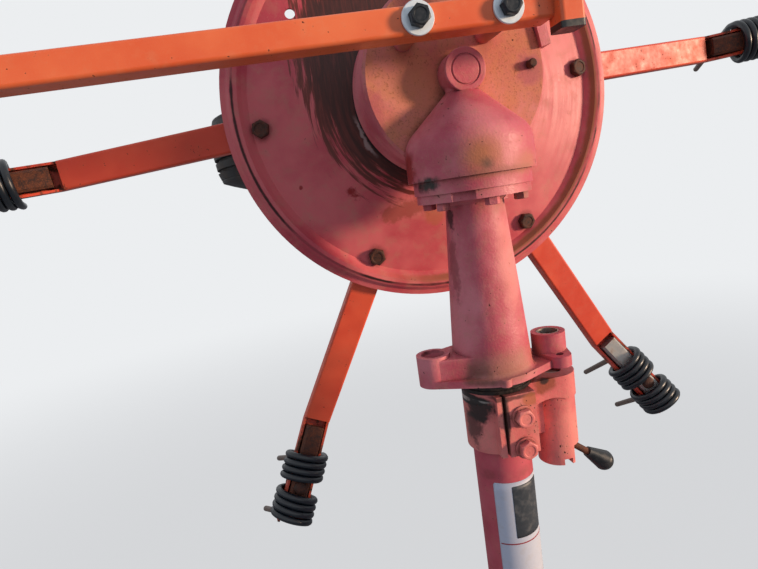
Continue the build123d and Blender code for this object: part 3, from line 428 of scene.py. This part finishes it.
def discEnamel(name, look):
    # Enamel on spun sheet: fine rings, a grease swirl round the hub, rust bleeding from the bolts
    finish, tree, where, (broad, middle, fine, flake) = startFinish(name, [
        (look["cloud"], 4.0, 0.55), (look["blotch"], 4.0, 0.6),
        (look["grain"], 2.0, 0.6), (look["chip"], 2.0, 0.6)])
    off = add(tree, "VectorMath", {0: where, 1: (0.0, 0.0, rotorHeight)}, operation="SUBTRACT").outputs[0]
    parts = add(tree, "SeparateXYZ", {0: off})
    x, z = parts.outputs[0], parts.outputs[2]
    flat = add(tree, "CombineXYZ", {0: x, 1: z}).outputs[0]
    radius = add(tree, "VectorMath", {0: flat}, operation="LENGTH").outputs["Value"]
    left = add(tree, "Math", {0: x, 1: -1.0}, operation="MULTIPLY").outputs[0]
    turn = add(tree, "Math", {0: z, 1: left}, operation="ARCTAN2").outputs[0]  # 0 to the left, + upwards
    around = add(tree, "Math", {0: turn, 1: look["marks"][0]}, operation="MULTIPLY").outputs[0]
    outwards = add(tree, "Math", {0: radius, 1: look["marks"][1]}, operation="MULTIPLY").outputs[0]
    rings = add(tree, "CombineXYZ", {0: around, 1: outwards}).outputs[0]
    brush = add(tree, "TexNoise", {"Vector": rings, "Scale": 1.0, "Detail": 5.0, "Roughness": 0.65}).outputs[0]
    tone = add(tree, "MapRange", {0: broad, 1: 0.38, 2: 0.62}, interpolation_type="SMOOTHSTEP").outputs[0]
    state = groundCoat(tree, look, tone, brush, fine, look["grainRise"])
    state = dusted(tree, state, middle, (0.5, 0.72), look["film"], look["dust"], 0.8)
    state = dusted(tree, state, fine, (0.55, 0.75), look["speck"], look["dust"], 0.85)
    state = spotted(tree, state, where, middle, look["spots"])

    # Ochre dirt in the groove inside the rim, below and to the right
    groove = awayFrom(tree, radius, look["groove"] / 1000)
    groove = add(tree, "Math", {0: middle, 1: 0.006, 2: groove}, operation="MULTIPLY_ADD").outputs[0]
    groove = add(tree, "MapRange", {0: groove, 1: 0.0095, 2: 0.0045}, interpolation_type="SMOOTHSTEP").outputs[0]
    wet = add(tree, "MapRange", {0: x, 1: -0.12, 2: 0.02, 3: 0.0, 4: 0.8},
              interpolation_type="SMOOTHSTEP").outputs[0]
    groove = add(tree, "Math", {0: groove, 1: wet}, operation="MULTIPLY").outputs[0]
    state = overlay(tree, state, groove, look["grooveColour"], 0.85)

    # A broken dark line along the crest of the raised rim
    crest = awayFrom(tree, radius, look["crest"] / 1000)
    crest = add(tree, "Math", {0: middle, 1: 0.0022, 2: crest}, operation="MULTIPLY_ADD").outputs[0]
    crest = add(tree, "MapRange", {0: crest, 1: 0.0034, 2: 0.0020, 3: 0.0, 4: 0.95}).outputs[0]
    broken = add(tree, "MapRange", {0: broad, 1: 0.44, 2: 0.52, 3: 0.35, 4: 1.0}).outputs[0]
    crest = add(tree, "Math", {0: crest, 1: broken}, operation="MULTIPLY").outputs[0]
    state = overlay(tree, state, crest, look["crestColour"], 0.85)

    # Rust round the bolts
    sector = 2 * math.pi / armCount
    aside = add(tree, "Math", {0: turn, 1: math.radians(armStart)}, operation="ADD").outputs[0]
    aside = add(tree, "Math", {0: aside, 1: -sector / 2, 2: sector / 2}, operation="WRAP").outputs[0]
    along = add(tree, "Math", {0: radius, 1: -boltCircle / 1000}, operation="ADD").outputs[0]
    across = add(tree, "Math", {0: radius, 1: aside}, operation="MULTIPLY").outputs[0]
    fromBolt = add(tree, "CombineXYZ", {0: along, 1: across}).outputs[0]
    near = add(tree, "VectorMath", {0: fromBolt}, operation="LENGTH").outputs["Value"]
    near = add(tree, "Math", {0: middle, 1: 0.012, 2: near}, operation="MULTIPLY_ADD").outputs[0]
    bleed = add(tree, "MapRange", {0: near, 1: 0.022, 2: 0.015, 3: 0.0, 4: 0.45},
                interpolation_type="SMOOTHSTEP").outputs[0]
    state = overlay(tree, state, bleed, look["rust"], 0.85)

    # The grease: thick and dark close in, brushed out to red-brown streaks, arcs below and runs of rain above
    edge, below, above = [v / 1000 for v in look["swirl"]]
    across, down = look["drips"]
    drips = add(tree, "VectorMath", {0: where, 1: (across, 0.0, down)}, operation="MULTIPLY").outputs[0]
    drips = add(tree, "TexNoise", {"Vector": drips, "Scale": 1.0, "Detail": 4.0, "Roughness": 0.6}).outputs[0]
    high = add(tree, "MapRange", {0: turn, 1: -0.2, 2: 0.5}, interpolation_type="SMOOTHSTEP").outputs[0]
    strands = add(tree, "Mix", {0: high, 2: brush, 3: drips}).outputs[0]
    under = add(tree, "MapRange", {0: turn, 1: -3.0, 2: 0.0, 3: -3.0 * below, 4: 0.0}).outputs[0]
    over = add(tree, "MapRange", {0: turn, 1: 0.0, 2: 0.75, 3: 0.0, 4: 0.75 * above}).outputs[0]
    ends = add(tree, "Math", {0: under, 1: over}, operation="ADD").outputs[0]
    frayed = add(tree, "MapRange", {0: strands, 1: 0.3, 2: 0.7, 3: -0.026, 4: 0.026}).outputs[0]
    frayed = add(tree, "Math", {0: frayed, 1: radius}, operation="ADD").outputs[0]
    frayed = add(tree, "Math", {0: frayed, 1: ends}, operation="SUBTRACT").outputs[0]
    swirl = add(tree, "MapRange", {0: frayed, 1: edge + 0.016, 2: edge - 0.014},
                interpolation_type="SMOOTHSTEP").outputs[0]
    bottom, low, top, last = look["swirlEnds"]
    fromBelow = add(tree, "MapRange", {0: turn, 1: bottom, 2: low}, interpolation_type="SMOOTHSTEP").outputs[0]
    toTop = add(tree, "MapRange", {0: turn, 1: last, 2: top}, interpolation_type="SMOOTHSTEP").outputs[0]
    faces = add(tree, "SeparateXYZ", {0: add(tree, "TexCoord").outputs["Normal"]}).outputs[1]
    front = add(tree, "MapRange", {0: faces, 1: -0.1, 2: -0.4}).outputs[0]  # none of it on the back
    for share in (fromBelow, toTop, front):
        swirl = add(tree, "Math", {0: swirl, 1: share}, operation="MULTIPLY").outputs[0]
    smear = add(tree, "MapRange", {0: swirl, 1: 0.05, 2: 0.45}).outputs[0]
    state = overlay(tree, state, smear, look["brushed"], 0.5)
    thick = add(tree, "Math", {0: strands, 1: 1.5, 2: swirl}, operation="MULTIPLY_ADD").outputs[0]
    thick = add(tree, "MapRange", {0: thick, 1: 1.25, 2: 1.9}, interpolation_type="SMOOTHSTEP").outputs[0]
    thick = add(tree, "Math", {0: thick, 1: front}, operation="MULTIPLY").outputs[0]
    state = overlay(tree, state, thick, look["grease"], 0.62, 0.3)

    # Beside the cover: painted shade, a black band in the gap between the cover and the hub, and the hub's edge
    # rubbed bright below it
    gapShade = add(tree, "MapRange", {0: radius, 1: look["gapShade"][0] / 1000, 2: look["gapShade"][1] / 1000}).outputs[0]
    state = overlay(tree, state, gapShade, look["gapShadeColour"], 0.8)
    uneven = add(tree, "MapRange", {0: middle, 1: 0.3, 2: 0.7, 3: -0.0035, 4: 0.0035}).outputs[0]
    uneven = add(tree, "Math", {0: radius, 1: uneven}, operation="ADD").outputs[0]
    bright = awayFrom(tree, uneven, look["bright"] / 1000)
    bright = add(tree, "MapRange", {0: bright, 1: 0.0028, 2: 0.0010}).outputs[0]
    reach = awayFrom(tree, turn, look["brightTurn"])
    reach = add(tree, "MapRange", {0: reach, 1: 0.30, 2: 0.16, 3: 0.0, 4: 0.9}).outputs[0]
    bright = add(tree, "Math", {0: bright, 1: reach}, operation="MULTIPLY").outputs[0]
    state = overlay(tree, state, bright, look["brightColour"], 0.4)
    state = chipped(tree, state, middle, flake, look)
    endFinish(tree, state, look["bump"])
    return finish


finishes["disc"] = discEnamel("baked_enamel_spun_disc", discLook)


def rustySteel(name, look):
    # Hot-rolled steel rusted in the open: dark scale with orange powder in its pits
    finish, tree, _, (middle, fine) = startFinish(name, [
        (look["blotch"], 4.0, 0.65), (look["grain"], 2.0, 0.6)])
    tone = add(tree, "MapRange", {0: middle, 1: 0.35, 2: 0.65}).outputs[0]
    state = groundCoat(tree, look, tone, middle, fine, 1.0)
    state = dusted(tree, state, fine, (0.52, 0.7), look["powder"], look["dust"], 0.95)
    endFinish(tree, state, look["bump"], Metallic=look["metal"])
    return finish


# Rolled and left bare: almost black-brown and quite matt, with rusty grains
finishes["rust"] = rustySteel("rusted_hot_rolled_steel", {
    "deep": "#2C1712", "pale": "#6A3B26", "rough": (0.7, 0.9), "dust": "#9A5A34", "powder": 0.6,
    "blotch": 7, "grain": 1.2, "bump": 0.25, "metal": 0.1})
# Forged bolts: the same rust, darker and a little smoother where spanners have been
finishes["boltRust"] = rustySteel("rusted_bolt_steel", {
    "deep": "#24130F", "pale": "#5A3324", "rough": (0.6, 0.8), "dust": "#7A4A34", "powder": 0.5,
    "blotch": 5, "grain": 1.0, "bump": 0.2, "metal": 0.2})


def springSteel(name, look):
    # Spring wire blackened in hot oil: glossy blue-black on the coils, scoured grey-brown on the legs
    finish, tree, where, (middle, fine) = startFinish(name, [
        (look["blotch"], 4.0, 0.6), (look["grain"], 2.0, 0.55)])
    back = add(tree, "SeparateXYZ", {0: where}).outputs[1]
    frayed = add(tree, "Math", {0: middle, 1: 0.05, 2: back}, operation="MULTIPLY_ADD").outputs[0]
    leg = add(tree, "MapRange", {0: frayed, 1: look["legs"][0] / 1000, 2: look["legs"][1] / 1000}).outputs[0]
    state = groundCoat(tree, look, middle, middle, fine, 0.3)
    wornTone = add(tree, "Mix", {0: middle, 6: srgb(look["worn"]), 7: srgb(look["rust"])}, data_type="RGBA")
    state = overlay(tree, state, leg, wornTone.outputs[2], 0.5)
    state = dusted(tree, state, middle, (0.58, 0.78), look["film"], look["dust"], 0.7)
    endFinish(tree, state, look["bump"])
    return finish


finishes["spring"] = springSteel("oil_blackened_spring_wire", {
    "deep": "#0A1118", "pale": "#18222B", "rough": (0.28, 0.46), "worn": "#7A6A5C", "rust": "#5A4234",
    "dust": "#4A4A4A", "film": 0.3, "blotch": 12, "grain": 1.2, "bump": 0.1,
    "legs": (234, 276)})  # mm along the rotor's axis, where the black ends and the scoured legs begin


def tyreRubber(name, look):
    # Rubber cured in a mould: matt black, grey-brown where soil has dried on it
    finish, tree, _, (middle, fine) = startFinish(name, [
        (look["blotch"], 4.0, 0.6), (look["grain"], 2.0, 0.55)])
    state = groundCoat(tree, look, fine, middle, fine, 0.4)
    state = dusted(tree, state, middle, (0.45, 0.68), look["film"], look["dust"], 0.95)
    endFinish(tree, state, look["bump"])
    return finish


finishes["tyre"] = tyreRubber("cured_tyre_rubber", {
    "deep": "#101113", "pale": "#202224", "rough": (0.6, 0.8), "dust": "#5E5448", "film": 0.45,
    "blotch": 22, "grain": 1.5, "bump": 0.2})


def plainSkin(name, look):
    # A smooth skin of metal, plastic or vinyl under a thin dusty film
    finish, tree, _, (middle, fine) = startFinish(name, [
        (look["blotch"], 3.0, 0.6), (look["grain"], 2.0, 0.55)])
    state = groundCoat(tree, look, middle, middle, fine, 0.4)
    state = dusted(tree, state, middle, (0.5, 0.75), look["film"], look["dust"], 0.85)
    endFinish(tree, state, look["bump"], Metallic=look["metal"])
    return finish


# Dipped in zinc, then worn: dull light grey with brown stains
finishes["clipGrey"] = plainSkin("worn_galvanised_clip", {
    "deep": "#8C8A86", "pale": "#B9B6AF", "rough": (0.38, 0.55), "dust": "#7A5A44", "film": 0.6,
    "blotch": 9, "grain": 1.0, "bump": 0.12, "metal": 0.6})
# Turned and never painted: bright where it runs, brown with old oil
finishes["bare"] = plainSkin("turned_bare_steel", {
    "deep": "#8E8A84", "pale": "#B4B0A8", "rough": (0.33, 0.50), "dust": "#6A4630", "film": 0.7,
    "blotch": 10, "grain": 0.8, "bump": 0.1, "metal": 0.85})
# Steel under years of grease: wet black with lint in it
finishes["grease"] = plainSkin("steel_under_old_grease", {
    "deep": "#120E0D", "pale": "#2A211D", "rough": (0.25, 0.42), "dust": "#4A3628", "film": 0.5,
    "blotch": 6, "grain": 1.2, "bump": 0.2, "metal": 0.2})
# Zinc plated in a bath: clean blue-white, the newest thing on the machine
finishes["zinc"] = plainSkin("zinc_plated_washer", {
    "deep": "#C6D2DA", "pale": "#E6EEF2", "rough": (0.35, 0.52), "dust": "#AEB4B4", "film": 0.4,
    "blotch": 8, "grain": 0.8, "bump": 0.05, "metal": 0.35})
# Cold-forged and blackened: even dark grey with a low sheen
finishes["blackBolt"] = plainSkin("blackened_bolt_steel", {
    "deep": "#14181D", "pale": "#262C33", "rough": (0.31, 0.48), "dust": "#3C4248", "film": 0.4,
    "blotch": 4, "grain": 0.7, "bump": 0.08, "metal": 0.5})
# Moulded plastic: smooth black, grey with dust on top
finishes["knob"] = plainSkin("moulded_black_plastic_knob", {
    "deep": "#121416", "pale": "#1F2225", "rough": (0.29, 0.46), "dust": "#55524E", "film": 0.35,
    "blotch": 8, "grain": 1.0, "bump": 0.06, "metal": 0.0})
# Printed vinyl: a flat sheet with a soft gloss, its white greyed and its red faded by the sun
finishes["label"] = plainSkin("printed_vinyl_label", {
    "deep": "#BCC1CC", "pale": "#CED2DB", "rough": (0.31, 0.48), "dust": "#A8A29C", "film": 0.35,
    "blotch": 9, "grain": 1.4, "bump": 0.03, "metal": 0.0})
finishes["labelStripe"] = plainSkin("printed_vinyl_red_line", {
    "deep": "#8E2A30", "pale": "#A63A3C", "rough": (0.31, 0.48), "dust": "#8A6A62", "film": 0.3,
    "blotch": 9, "grain": 1.4, "bump": 0.03, "metal": 0.0})
finishes["labelPanel"] = plainSkin("printed_vinyl_dark_panel", {
    "deep": "#2B3034", "pale": "#41474C", "rough": (0.29, 0.46), "dust": "#7A7874", "film": 0.3,
    "blotch": 9, "grain": 1.4, "bump": 0.03, "metal": 0.0})

slotFinish = {
    "cast_paint": "swivel", "arm_paint": "arm", "guard_paint": "guard", "rim_paint": "rim", "tine_steel": "spring",
    "rusty_steel": "rust", "bare_steel": "bare", "greased_steel": "grease", "black_plastic": "knob", "tyre": "tyre",
}
nodeFinish = {
    "gearbox": "gearbox", "boss_plug": "gearbox", "latch_clamp": "clamp", "boom_tube": "boom",
    "hinge_fork": "boom", "rotor_disc": "disc", "tine_clip_6": "clipGrey", "spindle": "swivel",
}
for part in frame["record"]["subparts"]:
    node = nodes[part["node"]]
    finish = nodeFinish.get(part["node"], slotFinish[part["material_slot"]])
    for holder in node.material_slots:
        holder.material = finishes[finish]
print("finishes on the solids:", len(finishes))


# Pieces over the solids. Lengths in millimetres.
def newPiece(name, data, finish):
    piece = bpy.data.objects.new(name, data)
    scene.collection.objects.link(piece)
    data.materials.append(finishes[finish])
    return piece


def ringMesh(name, rings, sides, finish, flats=None):
    # A body of rings along its own Z: (height, radius), each held inside the hexagon's flats if they are given
    mesh = bmesh.new()
    loops = []
    for height, radius in rings:
        loop = []
        for i in range(sides):
            angle = 2 * math.pi * i / sides
            reach = radius
            if flats:
                turn = (angle + math.pi / 6) % (math.pi / 3) - math.pi / 6
                reach = min(radius, flats / 2 / math.cos(turn))
            spot = Vector((reach * math.cos(angle), reach * math.sin(angle), height))
            loop.append(mesh.verts.new(spot / 1000))
        loops.append(loop)
    for low, high in zip(loops, loops[1:]):
        for i in range(sides):
            j = (i + 1) % sides
            mesh.faces.new((low[i], low[j], high[j], high[i]))
    mesh.faces.new(list(reversed(loops[0])))
    mesh.faces.new(loops[-1])
    data = bpy.data.meshes.new(name)
    mesh.to_mesh(data)
    mesh.free()
    return newPiece(name, data, finish)


def setOn(piece, place, outward, body, turn=0.0):
    # Stands the piece's Z along outward. The mesh itself is moved, so its pattern lies in the solids' frame
    lean = Vector(outward).normalized().to_track_quat("Z", "Y").to_matrix().to_4x4()
    spin = Matrix.Rotation(math.radians(turn), 4, "Z")
    piece.data.transform(Matrix.Translation(Vector(place) / 1000) @ lean @ spin)
    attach(piece, body)


def hexHead(name, spec, finish):
    # Rolled head or nut: washer face below, chamfered crown above, a shallow dimple or the bolt's end in it
    half = spec["flats"] / 2
    top = spec["height"]
    corner = half / math.cos(math.pi / 6) * 1.001
    crown, base = half * 0.9, half * 0.96
    rings = [(0, base), (0.6, base), (0.6, corner)]
    for step in range(4):
        reach = corner + (crown - corner) * step / 3
        rings.append((top - (reach - crown) / 2, reach))
    rings += [(top, half * 0.72), (top - spec["dimple"], half * 0.62)]
    return ringMesh(name, rings, 48, finish, spec["flats"])


def washer(name, spec, finish):
    outer, inner, thick = spec["outer"] / 2, spec["inner"] / 2, spec["thick"]
    soft = thick / 5
    rings = [(0, outer - soft), (soft, outer), (thick - soft, outer), (thick, outer - soft),
             (thick, inner + soft), (thick - soft, inner)]
    return ringMesh(name, rings, 48, finish)


tine = {
    "wire": 4.6, "coil": 25.9, "pitch": 9.4, "inner": 77, "outer": 103.7,  # radii, and places along the open end
    "turns": 3.25, "step": 15, "reach": (49, 220, -34), "drop": 14, "elbow": 8,
    "loopSide": 12, "loopSeat": 14.9, "loopSpread": 4, "loopIn": 3,
}


def tinePoints(spec):
    # One wire, in the open end's own place: leg, coil, a loop behind the arm, coil, leg
    wide = spec["coil"] / math.cos(math.radians(spec["step"] / 2))  # the spline runs inside its points
    coils = []
    for start, way in ((spec["inner"], -1), (spec["outer"], 1)):
        coil = []
        for degrees in range(-180, int(spec["turns"] * 360) + 1, spec["step"]):
            angle = math.radians(degrees)
            coil.append(Vector((start + way * spec["pitch"] * degrees / 360,
                                -wide * math.cos(angle), wide * math.sin(angle))))
        root = Vector((coil[-1].x, 0, spec["coil"]))
        tip = root + Vector(spec["reach"])
        corner = root + Vector((0, spec["drop"], 0))
        before = corner - Vector((0, spec["elbow"], 0))
        after = corner + (tip - corner).normalized() * spec["elbow"]
        coils.append(coil[:-1] + [root, before, corner, after, (corner + tip) / 2, tip])
    first, second = coils
    side, seat, spread = spec["loopSide"], spec["loopSeat"], spec["loopSpread"]
    left, right, back = first[0].x, second[0].x, wide - spec["loopIn"]
    loop = [(left, back, side / 2), (left, seat, side), (left + spread, seat, side + spread),
            (right - spread, seat, side + spread), (right, seat, side), (right, back, side / 2)]
    return list(reversed(first)) + [Vector(p) for p in loop] + second


def wirePiece(name, points, radius, finish):
    line = bpy.data.curves.new(name, "CURVE")
    line.dimensions = "3D"
    run = line.splines.new("NURBS")
    run.points.add(len(points) - 1)
    for knot, point in zip(run.points, points):
        knot.co = (*(point / 1000), 1.0)
    run.order_u = 3
    run.use_endpoint_u = True
    run.resolution_u = 2
    line.bevel_depth = radius / 1000
    line.bevel_resolution = 4
    line.use_fill_caps = True
    return newPiece(name, line, finish)


# An arm: its front face at the bolt circle, half its thickness, its straight run and the bend of its open end
arm = {"face": 128, "half": 10, "straight": 262, "bend": 27, "clip": 91, "clipFace": 14.8}
discBolt = {"flats": 19, "height": 8.5, "dimple": 0.8, "face": 123.2}
discNut = {"flats": 19, "height": 10, "dimple": 0.8}
tineNut = {"flats": 17, "height": 8, "dimple": 0.6}
tineWasher = {"outer": 34, "inner": 10, "thick": 2.5}
tineButton = [(0, 9.0), (0.6, 9.25), (1.6, 9.1), (3.2, 7.6), (4.3, 5.2), (4.9, 2.4)]  # carriage bolt's round head

wirePath = tinePoints(tine)
slope = math.radians(armSlope)
bend = math.radians(arm["bend"])
for number in range(armCount):
    angle = math.radians(armStart + number * 360 / armCount)
    outward = Vector((math.cos(angle), 0, math.sin(angle)))
    square = Vector((0, math.cos(slope), 0)) - outward * math.sin(slope)
    along = outward * math.cos(slope) + Vector((0, math.sin(slope), 0))
    onDisc = outward * boltCircle + Vector((0, discBolt["face"], rotorHeight * 1000))
    head = hexHead(f"disc_bolt_{number + 1}", discBolt, "boltRust")
    setOn(head, onDisc, -square, "rotor", 17 * number)

    # The arm's open end, with the tine's clip, bolt and nut
    armFoot = outward * boltCircle + Vector((0, arm["face"], rotorHeight * 1000))
    endFoot = armFoot + square * arm["half"] + along * arm["straight"]
    endAlong = along * math.cos(bend) - square * math.sin(bend)
    endBack = square * math.cos(bend) + along * math.sin(bend)
    clipMiddle = endFoot + endAlong * arm["clip"]
    button = ringMesh(f"tine_bolt_{number + 1}", tineButton, 32, "boltRust")
    setOn(button, clipMiddle - endBack * arm["clipFace"], -endBack, "rotor")
    sideways = along.cross(square)
    path = [endFoot + endAlong * p.x + endBack * p.y + sideways * p.z for p in wirePath]
    wire = wirePiece(f"tine_wire_{number + 1}", path, tine["wire"], "spring")
    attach(wire, "rotor")
    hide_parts(f"tine_{number + 1}")
    behind = clipMiddle + endBack * (tine["loopSeat"] + tine["wire"])
    setOn(washer(f"tine_washer_{number + 1}", tineWasher, "boltRust"), behind, endBack, "rotor")
    nut = hexHead(f"tine_nut_{number + 1}", tineNut, "boltRust")
    setOn(nut, behind + endBack * tineWasher["thick"], endBack, "rotor", 11 * number)
    nut = hexHead(f"disc_nut_{number + 1}", discNut, "boltRust")
    setOn(nut, armFoot + square * 2 * arm["half"], square, "rotor", 13 * number)
print("rotor dressed")

# The guard: the play of its bolts lets the left end hang a little, and its bar is lower than the bow's tube
guard = {"roll": -1.7, "about": (-14, 838), "barHeight": 0.85}
pivot = Matrix.Translation(Vector((guard["about"][0], 0, guard["about"][1])) / 1000)
roll = pivot @ Matrix.Rotation(math.radians(guard["roll"]), 4, "Y") @ pivot.inverted()


def copyOf(name, newName):
    # A loose copy of a solid, which stands for it
    piece = nodes[name].copy()
    piece.data = nodes[name].data.copy()
    piece.name = piece.data.name = newName
    scene.collection.objects.link(piece)
    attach(piece, "head")
    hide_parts(name)
    return piece


for name, slot in (("guard_bar", "guard_paint"), ("guard_bow", "guard_paint"),
                   ("bow_cap_left", "black_plastic"), ("bow_cap_right", "black_plastic")):
    lower = guard["barHeight"] if name == "guard_bar" else 1.0
    squeeze = pivot @ Matrix.Diagonal((1, 1, lower, 1)) @ pivot.inverted()
    row = nodes[name].matrix_world
    copyOf(name, name + "_hung").data.transform(row.inverted() @ roll @ squeeze @ row)

# The two bosses behind the bar are slimmer here than in the solid, so that less of them shows below it
guardBoss = {"places": [(-54, 838), (33, 838)], "radius": 16, "slim": 10, "back": 8}
row = nodes["gearbox"].matrix_world.copy()
for vertex in copyOf("gearbox", "gearbox_slim_bosses").data.vertices:
    at = row @ vertex.co
    for x, z in guardBoss["places"]:
        away = Vector((at.x - x / 1000, 0, at.z - z / 1000))
        if at.y * 1000 < guardBoss["back"] + 0.05 and away.length * 1000 < guardBoss["radius"] + 0.1:
            vertex.co = row.inverted() @ (at - away * (1 - guardBoss["slim"] / guardBoss["radius"]))

guardBolt = {"flats": 17, "height": 9, "dimple": 0.7, "places": [(-57.7, 837), (28.3, 839.5)], "face": -64}
guardWasher = {"outer": 30, "inner": 12, "thick": 2.6}
for number, (x, z) in enumerate(guardBolt["places"], 1):
    plate = washer(f"guard_washer_{number}", guardWasher, "zinc")
    setOn(plate, (x, guardBolt["face"], z), (0, -1, 0), "head")
    head = hexHead(f"guard_bolt_{number}", guardBolt, "blackBolt")
    setOn(head, (x, guardBolt["face"] - guardWasher["thick"], z), (0, -1, 0), "head", 12 * number)

flangeBolt = {"flats": 13, "height": 8, "dimple": 0.6, "circle": 49, "first": 30, "count": 6, "under": 673}
for number in range(1, flangeBolt["count"] + 1):
    angle = math.radians(flangeBolt["first"] + (number - 1) * 360 / flangeBolt["count"])
    place = (flangeBolt["circle"] * math.cos(angle), flangeBolt["circle"] * math.sin(angle), flangeBolt["under"])
    head = hexHead(f"flange_bolt_{number}", flangeBolt, "swivel")
    setOn(head, place, (0, 0, -1), "head", 21 * number)

clampBolt = {"flats": 18, "height": 8, "dimple": 0.8, "places": [(8.8, 439), (9.2, 403)], "face": -46}
clampWasher = {"outer": 24, "inner": 12, "thick": 2.5}
for number, (x, z) in enumerate(clampBolt["places"], 1):
    plate = washer(f"clamp_washer_{number}", clampWasher, "clamp")
    setOn(plate, (x, clampBolt["face"], z), (0, -1, 0), "boom")
    head = hexHead(f"clamp_bolt_{number}", clampBolt, "clamp")
    setOn(head, (x, clampBolt["face"] - clampWasher["thick"], z), (0, -1, 0), "boom", 8 + 23 * number)

# Cast web that fills the gap between the left eye and the column
web = {"eye": -67.5, "wall": 15.5, "side": 18.2, "column": (-26, 31), "bottom": 480, "top": 507.5, "soft": 2.0}


def castWeb(spec):
    mesh = bmesh.new()
    outline = [(spec["eye"] + spec["wall"] * math.cos(math.radians(a)), spec["wall"] * math.sin(math.radians(a)))
               for a in range(-90, 91, 15)]
    inner, half = spec["column"]
    outline += [(spec["eye"], spec["side"]), (inner, half), (inner, -half), (spec["eye"], -spec["side"])]
    low = [mesh.verts.new((px / 1000, py / 1000, spec["bottom"] / 1000)) for px, py in outline]
    high = [mesh.verts.new((px / 1000, py / 1000, spec["top"] / 1000)) for px, py in outline]
    for i, j in zip(range(len(low)), list(range(1, len(low))) + [0]):
        mesh.faces.new((low[j], low[i], high[i], high[j]))
    mesh.faces.new(low)
    mesh.faces.new(list(reversed(high)))
    bmesh.ops.recalc_face_normals(mesh, faces=mesh.faces)
    data = bpy.data.meshes.new("eye_web")
    mesh.to_mesh(data)
    mesh.free()
    piece = newPiece("eye_web", data, "swivel")
    soften = piece.modifiers.new("cast_edges", "BEVEL")
    soften.width = spec["soft"] / 1000
    soften.segments = 3
    soften.limit_method = "ANGLE"
    soften.angle_limit = math.radians(50)
    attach(piece, "head")


castWeb(web)

# Turned face of the gearbox's boss: rounded rim, groove, plug
boss = {"place": (0, -16, 800), "rings": [
    (0, 21.5), (1.3, 21.5), (2.0, 20.7), (2.1, 19.8), (2.1, 16.0), (1.8, 15.5), (1.05, 15.3), (1.05, 14.2),
    (1.7, 14.0), (2.05, 13.4), (2.1, 6.0)]}
setOn(ringMesh("boss_face", boss["rings"], 64, "gearbox"), boss["place"], (0, -1, 0), "head")

stud = {"place": (82.3, 8, 802.6), "rings": [(0, 4.5), (8, 4.5), (9, 3.375)]}
setOn(ringMesh("cover_stud", stud["rings"], 24, "boltRust"), stud["place"], (0, -1, 0), "head")
print("bolts, washers and guard on")

# Blank vinyl label on the lower tube, with a dark panel and a red line; angles in degrees round the tube
label = {"radius": 32.5, "thick": 0.25, "first": -137, "last": -22, "top": 357, "bottom": 222, "corner": 2.5}
labelPanel = dict(label, thick=0.45, first=-101, last=-32, top=352, bottom=288, corner=0.5)
labelStripe = dict(label, thick=0.45, first=-134, last=-25, top=281.6, bottom=280.2, corner=0.1)


def bentSheet(name, spec, finish):
    # A thin sheet wrapped on the boom's tube, with a hair of thickness and rounded corners
    mesh = bmesh.new()
    columns, rows = 36, 12
    radius = (spec["radius"] + spec["thick"]) / 1000
    sweep = math.radians(spec["last"] - spec["first"])
    grid = []
    for i in range(columns + 1):
        angle = math.radians(spec["first"]) + sweep * i / columns
        fromSide = min(i, columns - i) / columns * sweep * spec["radius"]
        inset = 0.0
        if fromSide < spec["corner"]:
            inset = spec["corner"] - math.sqrt(max(spec["corner"] ** 2 - (spec["corner"] - fromSide) ** 2, 0))
        low, high = spec["bottom"] + inset, spec["top"] - inset
        grid.append([mesh.verts.new((radius * math.cos(angle), radius * math.sin(angle),
                                     (low + (high - low) * j / rows) / 1000)) for j in range(rows + 1)])
    for i in range(columns):
        for j in range(rows):
            mesh.faces.new((grid[i][j], grid[i + 1][j], grid[i + 1][j + 1], grid[i][j + 1]))
    data = bpy.data.meshes.new(name)
    mesh.to_mesh(data)
    mesh.free()
    for face in data.polygons:
        face.use_smooth = True
    piece = newPiece(name, data, finish)
    skin = piece.modifiers.new("thickness", "SOLIDIFY")
    skin.thickness = spec["thick"] / 2000
    skin.offset = -1
    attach(piece, "boom")


bentSheet("blank_label", label, "label")
bentSheet("blank_label_panel", labelPanel, "labelPanel")
bentSheet("label_stripe", labelStripe, "labelStripe")
print("label on")
